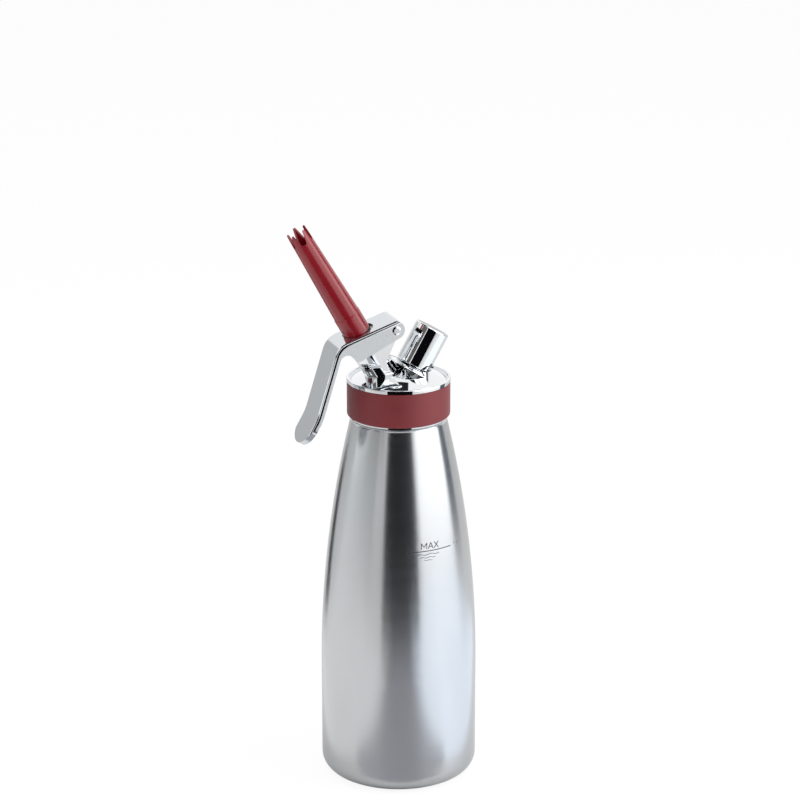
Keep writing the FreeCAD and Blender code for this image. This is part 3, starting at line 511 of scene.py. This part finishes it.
def face_outward():
    """In edit mode, turn all normals outward, then leave edit mode."""
    bpy.ops.mesh.select_all(action="SELECT")
    bpy.ops.mesh.normals_make_consistent(inside=False)
    bpy.ops.object.mode_set(mode="OBJECT")


def lathe(name, profile, foot=(0, 0), lean=0):
    """Turn a closed half section (r, z) about Z, then stand it on foot (x, z), leaning to +X."""
    spots = [Vector((r, 0, z)) * MM for r, z in profile]
    loop = [(i, (i + 1) % len(spots)) for i in range(len(spots))]
    piece = new_piece(name, spots, loop, [])
    bpy.ops.object.mode_set(mode="EDIT")
    bpy.ops.mesh.select_all(action="SELECT")
    bpy.ops.mesh.spin(steps=LATHE_STEPS, angle=2 * math.pi, center=(0, 0, 0), axis=(0, 0, 1))
    bpy.ops.mesh.select_all(action="SELECT")
    bpy.ops.mesh.remove_doubles(threshold=WELD * MM)
    face_outward()
    piece.location = Vector((foot[0], 0, foot[1])) * MM
    piece.rotation_euler = (0, math.radians(lean), 0)
    bpy.ops.object.transform_apply(location=True, rotation=True, scale=True)
    return piece


def prism(name, corners, half_width):
    """Side outline (x, z), extruded across Y."""
    spots = [Vector((x, -half_width, z)) * MM for x, z in corners]
    piece = new_piece(name, spots, [], [list(range(len(spots)))])
    bpy.ops.object.mode_set(mode="EDIT")
    bpy.ops.mesh.select_all(action="SELECT")
    across = {"value": (0, 2 * half_width * MM, 0)}
    bpy.ops.mesh.extrude_region_move(TRANSFORM_OT_translate=across)
    face_outward()
    return piece


def carve(piece, tool):
    """Cut a tool from a piece and delete the tool."""
    select_only(piece)
    change = piece.modifiers.new("carve", "BOOLEAN")
    change.operation = "DIFFERENCE"
    change.solver = "EXACT"
    change.object = tool
    bpy.ops.object.modifier_apply(modifier=change.name)
    bpy.data.objects.remove(tool, do_unlink=True)


# %% [markdown]
# Three axes order the head: the bottle's, the tip's, which leans 30 degrees to the left, and the
# inlet's, which leans 30 degrees to the right. The sizes below are the solid model's own, so that
# the valve, the pin and the nipple fit the turned head as they fit the solid one.

# %% Sizes of the head, in mm
PIN = (-5.8, 287.5)  # side-view place of the lever's pin
TIP_FOOT, TIP_LEAN = (-22.2545, 278.0), -30  # the tip's axis, where the pin is nearest to it
INLET_FOOT, INLET_LEAN = (15.85, 272.5), 30
STEM_BORE, BUSH_RADIUS, CHAMBER_RADIUS = 5, 6.5, 8.6
CHAMBER_BOTTOM, BUSH_BOTTOM, SEAT = -13, -22.95, -37.6  # along the tip's axis
SLEEVE_RADIUS, SEAT_RADIUS, SLEEVE_EDGE = 9.7, 8.5, 0.4
NIPPLE_BORE, CAP_ROOM, BOSS_RADIUS, SAUCER_RADIUS = 6.02, 11.55, 9.5, 17.5
BOSS_TOP, CAP_TOP = -13.2, 12.6  # along the inlet's axis

# %% [markdown]
# The cover is one thin shape: a skirt inside the grip ring, a rim with two small rounds, a
# shallow trough and a dome. The valve's and the inlet's bores are cut through it afterwards,
# each along its own axis, so that nothing inside the head touches it.

# %% Cover and bores


def cover():
    """Skirt, rim, trough and dome in one half section."""
    foot, lip_top, rim_foot, rim_top, crown, ceiling = 230.4, 231.2, 252.8, 255.2, 261.5, 250
    mouth, lip, skirt, rim, trough = 26.3, 29.85, 29.0, 31.65, 30.05
    edge, dome = 0.6, 57.37
    profile = [(mouth, foot), (lip, foot), (lip, lip_top), (skirt, lip_top), (skirt, rim_foot),
               (rim, rim_foot), (rim, rim_top - edge)]
    profile += arc(profile[-1], (rim - edge, rim_top), edge, 1, 5)
    profile += [(trough + edge, rim_top)]
    profile += arc(profile[-1], (trough, rim_top - edge), edge, 1, 5)
    profile += [(trough, rim_foot + 0.5), (trough - 0.3, rim_foot + 0.3)]
    profile += arc(profile[-1], (0, crown), dome, 1, 40)
    profile += [(0, ceiling), (mouth, ceiling)]
    return lathe("cover", profile)


def valve_bore():
    bottom, top = SEAT - 2.4, 1
    profile = [(0, bottom), (STEM_BORE, bottom), (STEM_BORE, BUSH_BOTTOM),
               (BUSH_RADIUS, BUSH_BOTTOM), (BUSH_RADIUS, CHAMBER_BOTTOM),
               (CHAMBER_RADIUS, CHAMBER_BOTTOM), (CHAMBER_RADIUS, top), (0, top)]
    return lathe("valve_bore", profile, TIP_FOOT, TIP_LEAN)


def inlet_bore():
    bottom = -19
    profile = [(0, bottom), (NIPPLE_BORE, bottom), (NIPPLE_BORE, BOSS_TOP),
               (CAP_ROOM, BOSS_TOP), (CAP_ROOM, CAP_TOP), (0, CAP_TOP)]
    return lathe("inlet_bore", profile, INLET_FOOT, INLET_LEAN)


# %% [markdown]
# The sleeve is the round tower that the photograph shows under the lever: it holds the spring,
# the bush and the stem, and its lower end is the valve's seat. The saucer is the inlet's boss,
# with a thin rim that curls up round the cap. The lug joins the sleeve to the pin: a flat plate
# with a round knuckle at the pin and a hollow blend where it meets the dome.

# %% Sleeve, saucer and lug


def sleeve():
    profile = [(CHAMBER_RADIUS, CHAMBER_BOTTOM), (BUSH_RADIUS, CHAMBER_BOTTOM),
               (BUSH_RADIUS, BUSH_BOTTOM), (STEM_BORE, BUSH_BOTTOM), (STEM_BORE, SEAT),
               (SEAT_RADIUS, SEAT), (SEAT_RADIUS, -27), (SLEEVE_RADIUS, -24), (SLEEVE_RADIUS, 0),
               (SLEEVE_RADIUS - SLEEVE_EDGE, SLEEVE_EDGE), (CHAMBER_RADIUS, SLEEVE_EDGE)]
    return lathe("sleeve", profile, TIP_FOOT, TIP_LEAN)


def saucer():
    foot, root, underside, curl = -20, -18.2, -15.6, 12
    profile = [(NIPPLE_BORE, foot), (BOSS_RADIUS, foot), (BOSS_RADIUS, root)]
    profile += arc(profile[-1], (SAUCER_RADIUS, underside), curl, -1, 10)
    profile += [(SAUCER_RADIUS, -15.25), (SAUCER_RADIUS - 0.2, -14.95), (BOSS_RADIUS, BOSS_TOP),
                (NIPPLE_BORE, BOSS_TOP)]
    return lathe("saucer", profile, INLET_FOOT, INLET_LEAN)


def off_tip(across, along):
    """Side-view point: across from the tip's axis away from the pin, and along it."""
    lean = math.radians(-TIP_LEAN)
    return (TIP_FOOT[0] - across * math.cos(lean) - along * math.sin(lean),
            TIP_FOOT[1] - across * math.sin(lean) + along * math.cos(lean))


def lug():
    knuckle, half_width = 3.4, 9.75
    root = [off_tip(0, SLEEVE_EDGE), off_tip(0, -21), (-8, 256), (-4.5, 259.5)]
    blend = [(-6.6, 260.2), (-8.6, 261.6), (-10.2, 263.6), (-11.1, 266), (-11.3, 268.5)]
    back = [(-2.5, 286.6)]
    over_pin = arc((PIN[0] + knuckle, PIN[1]), (PIN[0] - 0.6 * knuckle, PIN[1] + 0.8 * knuckle),
                   knuckle, 1, 10)
    front = [off_tip(-11.5, SLEEVE_EDGE)]
    return prism("lug", root + blend + back + over_pin + front, half_width)


# %% [markdown]
# Last, the bores are cut, the four pieces are joined into one object, and it is shaded smooth
# but for its sharp edges. It takes the solid head's place and rides with the head's joints.

# %% Put the head together
SHARP_EDGE = math.radians(32)


def cast_head():
    casting = cover()
    carve(casting, valve_bore())
    carve(casting, inlet_bore())
    plate = lug()
    carve(plate, valve_bore())
    parts = [casting, plate, sleeve(), saucer()]
    bpy.ops.object.select_all(action="DESELECT")
    for part in parts:
        part.select_set(True)
    bpy.context.view_layer.objects.active = casting
    bpy.ops.object.join()
    casting.name = "head_casting"
    select_only(casting)
    bpy.ops.object.shade_smooth_by_angle(angle=SHARP_EDGE)
    dress(casting, MIRROR)
    return casting


head_casting = cast_head()
print("head casting, faces:", len(head_casting.data.polygons), "box, mm:",
      [round(v / MM, 1) for v in head_casting.dimensions])
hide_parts("head_body")
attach(head_casting, "head")

# %% [markdown]
# The bottle carries an etched mark. Etching darkens the steel and hardly sinks into it, so pen
# strokes are laid on the steel as thin ribbons. Each is drawn flat, as points along and up, and
# then bent onto the bottle's own curve.

# %% Pen strokes on the bottle, in mm
BOTTLE_RADIUS, FLANK_RADIUS, WIDEST = 48, 686.88, 70
CAMERA_SIDE = math.radians(-110.5)
MARK_LIFT = 0.1  # clear of the bottle's facets
MARK_DEPTH = 0.02


def bottle_skin(height):
    """Radius of the bottle's flank at a height."""
    drop = math.sqrt(FLANK_RADIUS ** 2 - (height - WIDEST) ** 2)
    return BOTTLE_RADIUS - FLANK_RADIUS + drop


def on_skin(along, height):
    """Point on the bottle; along is the arc round from the middle of the camera's side."""
    radius = bottle_skin(height) + MARK_LIFT
    angle = CAMERA_SIDE + along / radius
    return Vector((radius * math.cos(angle), radius * math.sin(angle), height)) * MM


def stroke(points, width, steps=6):
    """Vertices and faces of one flat ribbon through (along, height) points."""
    path = []
    for (a, b), (c, d) in zip(points, points[1:]):
        path += [(a + (c - a) * i / steps, b + (d - b) * i / steps) for i in range(steps)]
    path.append(points[-1])
    vertices = []
    for i, (a, b) in enumerate(path):
        ahead = path[min(i + 1, len(path) - 1)]
        behind = path[max(i - 1, 0)]
        run, rise = ahead[0] - behind[0], ahead[1] - behind[1]
        length = math.hypot(run, rise)
        across = (-rise / length * width / 2, run / length * width / 2)
        vertices.append(on_skin(a - across[0], b - across[1]))
        vertices.append(on_skin(a + across[0], b + across[1]))
    faces = [(2 * i, 2 * i + 2, 2 * i + 3, 2 * i + 1) for i in range(len(path) - 1)]
    return vertices, faces


def wave(middle, height, length, swing, steps=24):
    """Points of two full waves."""
    return [(middle + length * (i / steps - 0.5),
             height + swing * math.sin(4 * math.pi * i / steps)) for i in range(steps + 1)]


# %% [markdown]
# The mark is the fill line at the one-litre level: a long line, the word that every maker puts
# there, three short waves and two small ticks. The letters are single strokes rather than a
# font, as an etching stencil has them. The ribbons get a little depth, so that they are solid.

# %% Fill line
LEVEL = 156.5
LETTER_FOOT, LETTER_HEAD = LEVEL + 1.3, LEVEL + 5.1
LETTER_BAR = LETTER_FOOT + 1.3  # the A's cross stroke
WAVES = 18.5  # their middle


def letters():
    """The word MAX, stroke by stroke."""
    foot, head = LETTER_FOOT, LETTER_HEAD
    return [
        [(14.0, foot), (14.0, head), (15.8, foot + 1.2), (17.6, head), (17.6, foot)],
        [(18.6, foot), (20.2, head), (21.8, foot)], [(19.2, LETTER_BAR), (21.2, LETTER_BAR)],
        [(22.6, foot), (25.6, head)], [(22.6, head), (25.6, foot)],
    ]


def fill_line():
    pens = [([(5.7, LEVEL), (35.4, LEVEL)], 0.5)]
    pens += [(letter, 0.42) for letter in letters()]
    pens += [(wave(WAVES, LEVEL - 2.0, 15, 0.35), 0.3),
             (wave(WAVES, LEVEL - 3.9, 10, 0.3), 0.26),
             (wave(WAVES, LEVEL - 5.6, 5.5, 0.25), 0.22)]
    pens += [([(38.6, LEVEL + 0.4), (38.6, LEVEL + 1.5)], 0.4),
             ([(41.8, LEVEL - 0.3), (41.8, LEVEL + 0.8)], 0.4)]
    vertices, faces = [], []
    for points, width in pens:
        new_vertices, new_faces = stroke(points, width)
        faces += [[i + len(vertices) for i in face] for face in new_faces]
        vertices += new_vertices
    piece = new_piece("fill_line", vertices, [], faces)
    bpy.ops.object.mode_set(mode="EDIT")
    bpy.ops.mesh.select_all(action="SELECT")
    inward = {"value": -MARK_DEPTH * MM}
    bpy.ops.mesh.extrude_region_shrink_fatten(TRANSFORM_OT_shrink_fatten=inward)
    face_outward()
    return piece


def etched_steel():
    material, shader = new_finish("etched_steel", Base_Color=linear("#3c3f43"), Metallic=0.6,
                                  Roughness=0.6)
    roughen(material, shader, noise(material, RUBBER_GRAIN, detail=1.0), 0.5, 0.7)
    return material


fill_mark = fill_line()
dress(fill_mark, etched_steel())
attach(fill_mark, "bottle")
print("fill line, faces:", len(fill_mark.data.polygons))
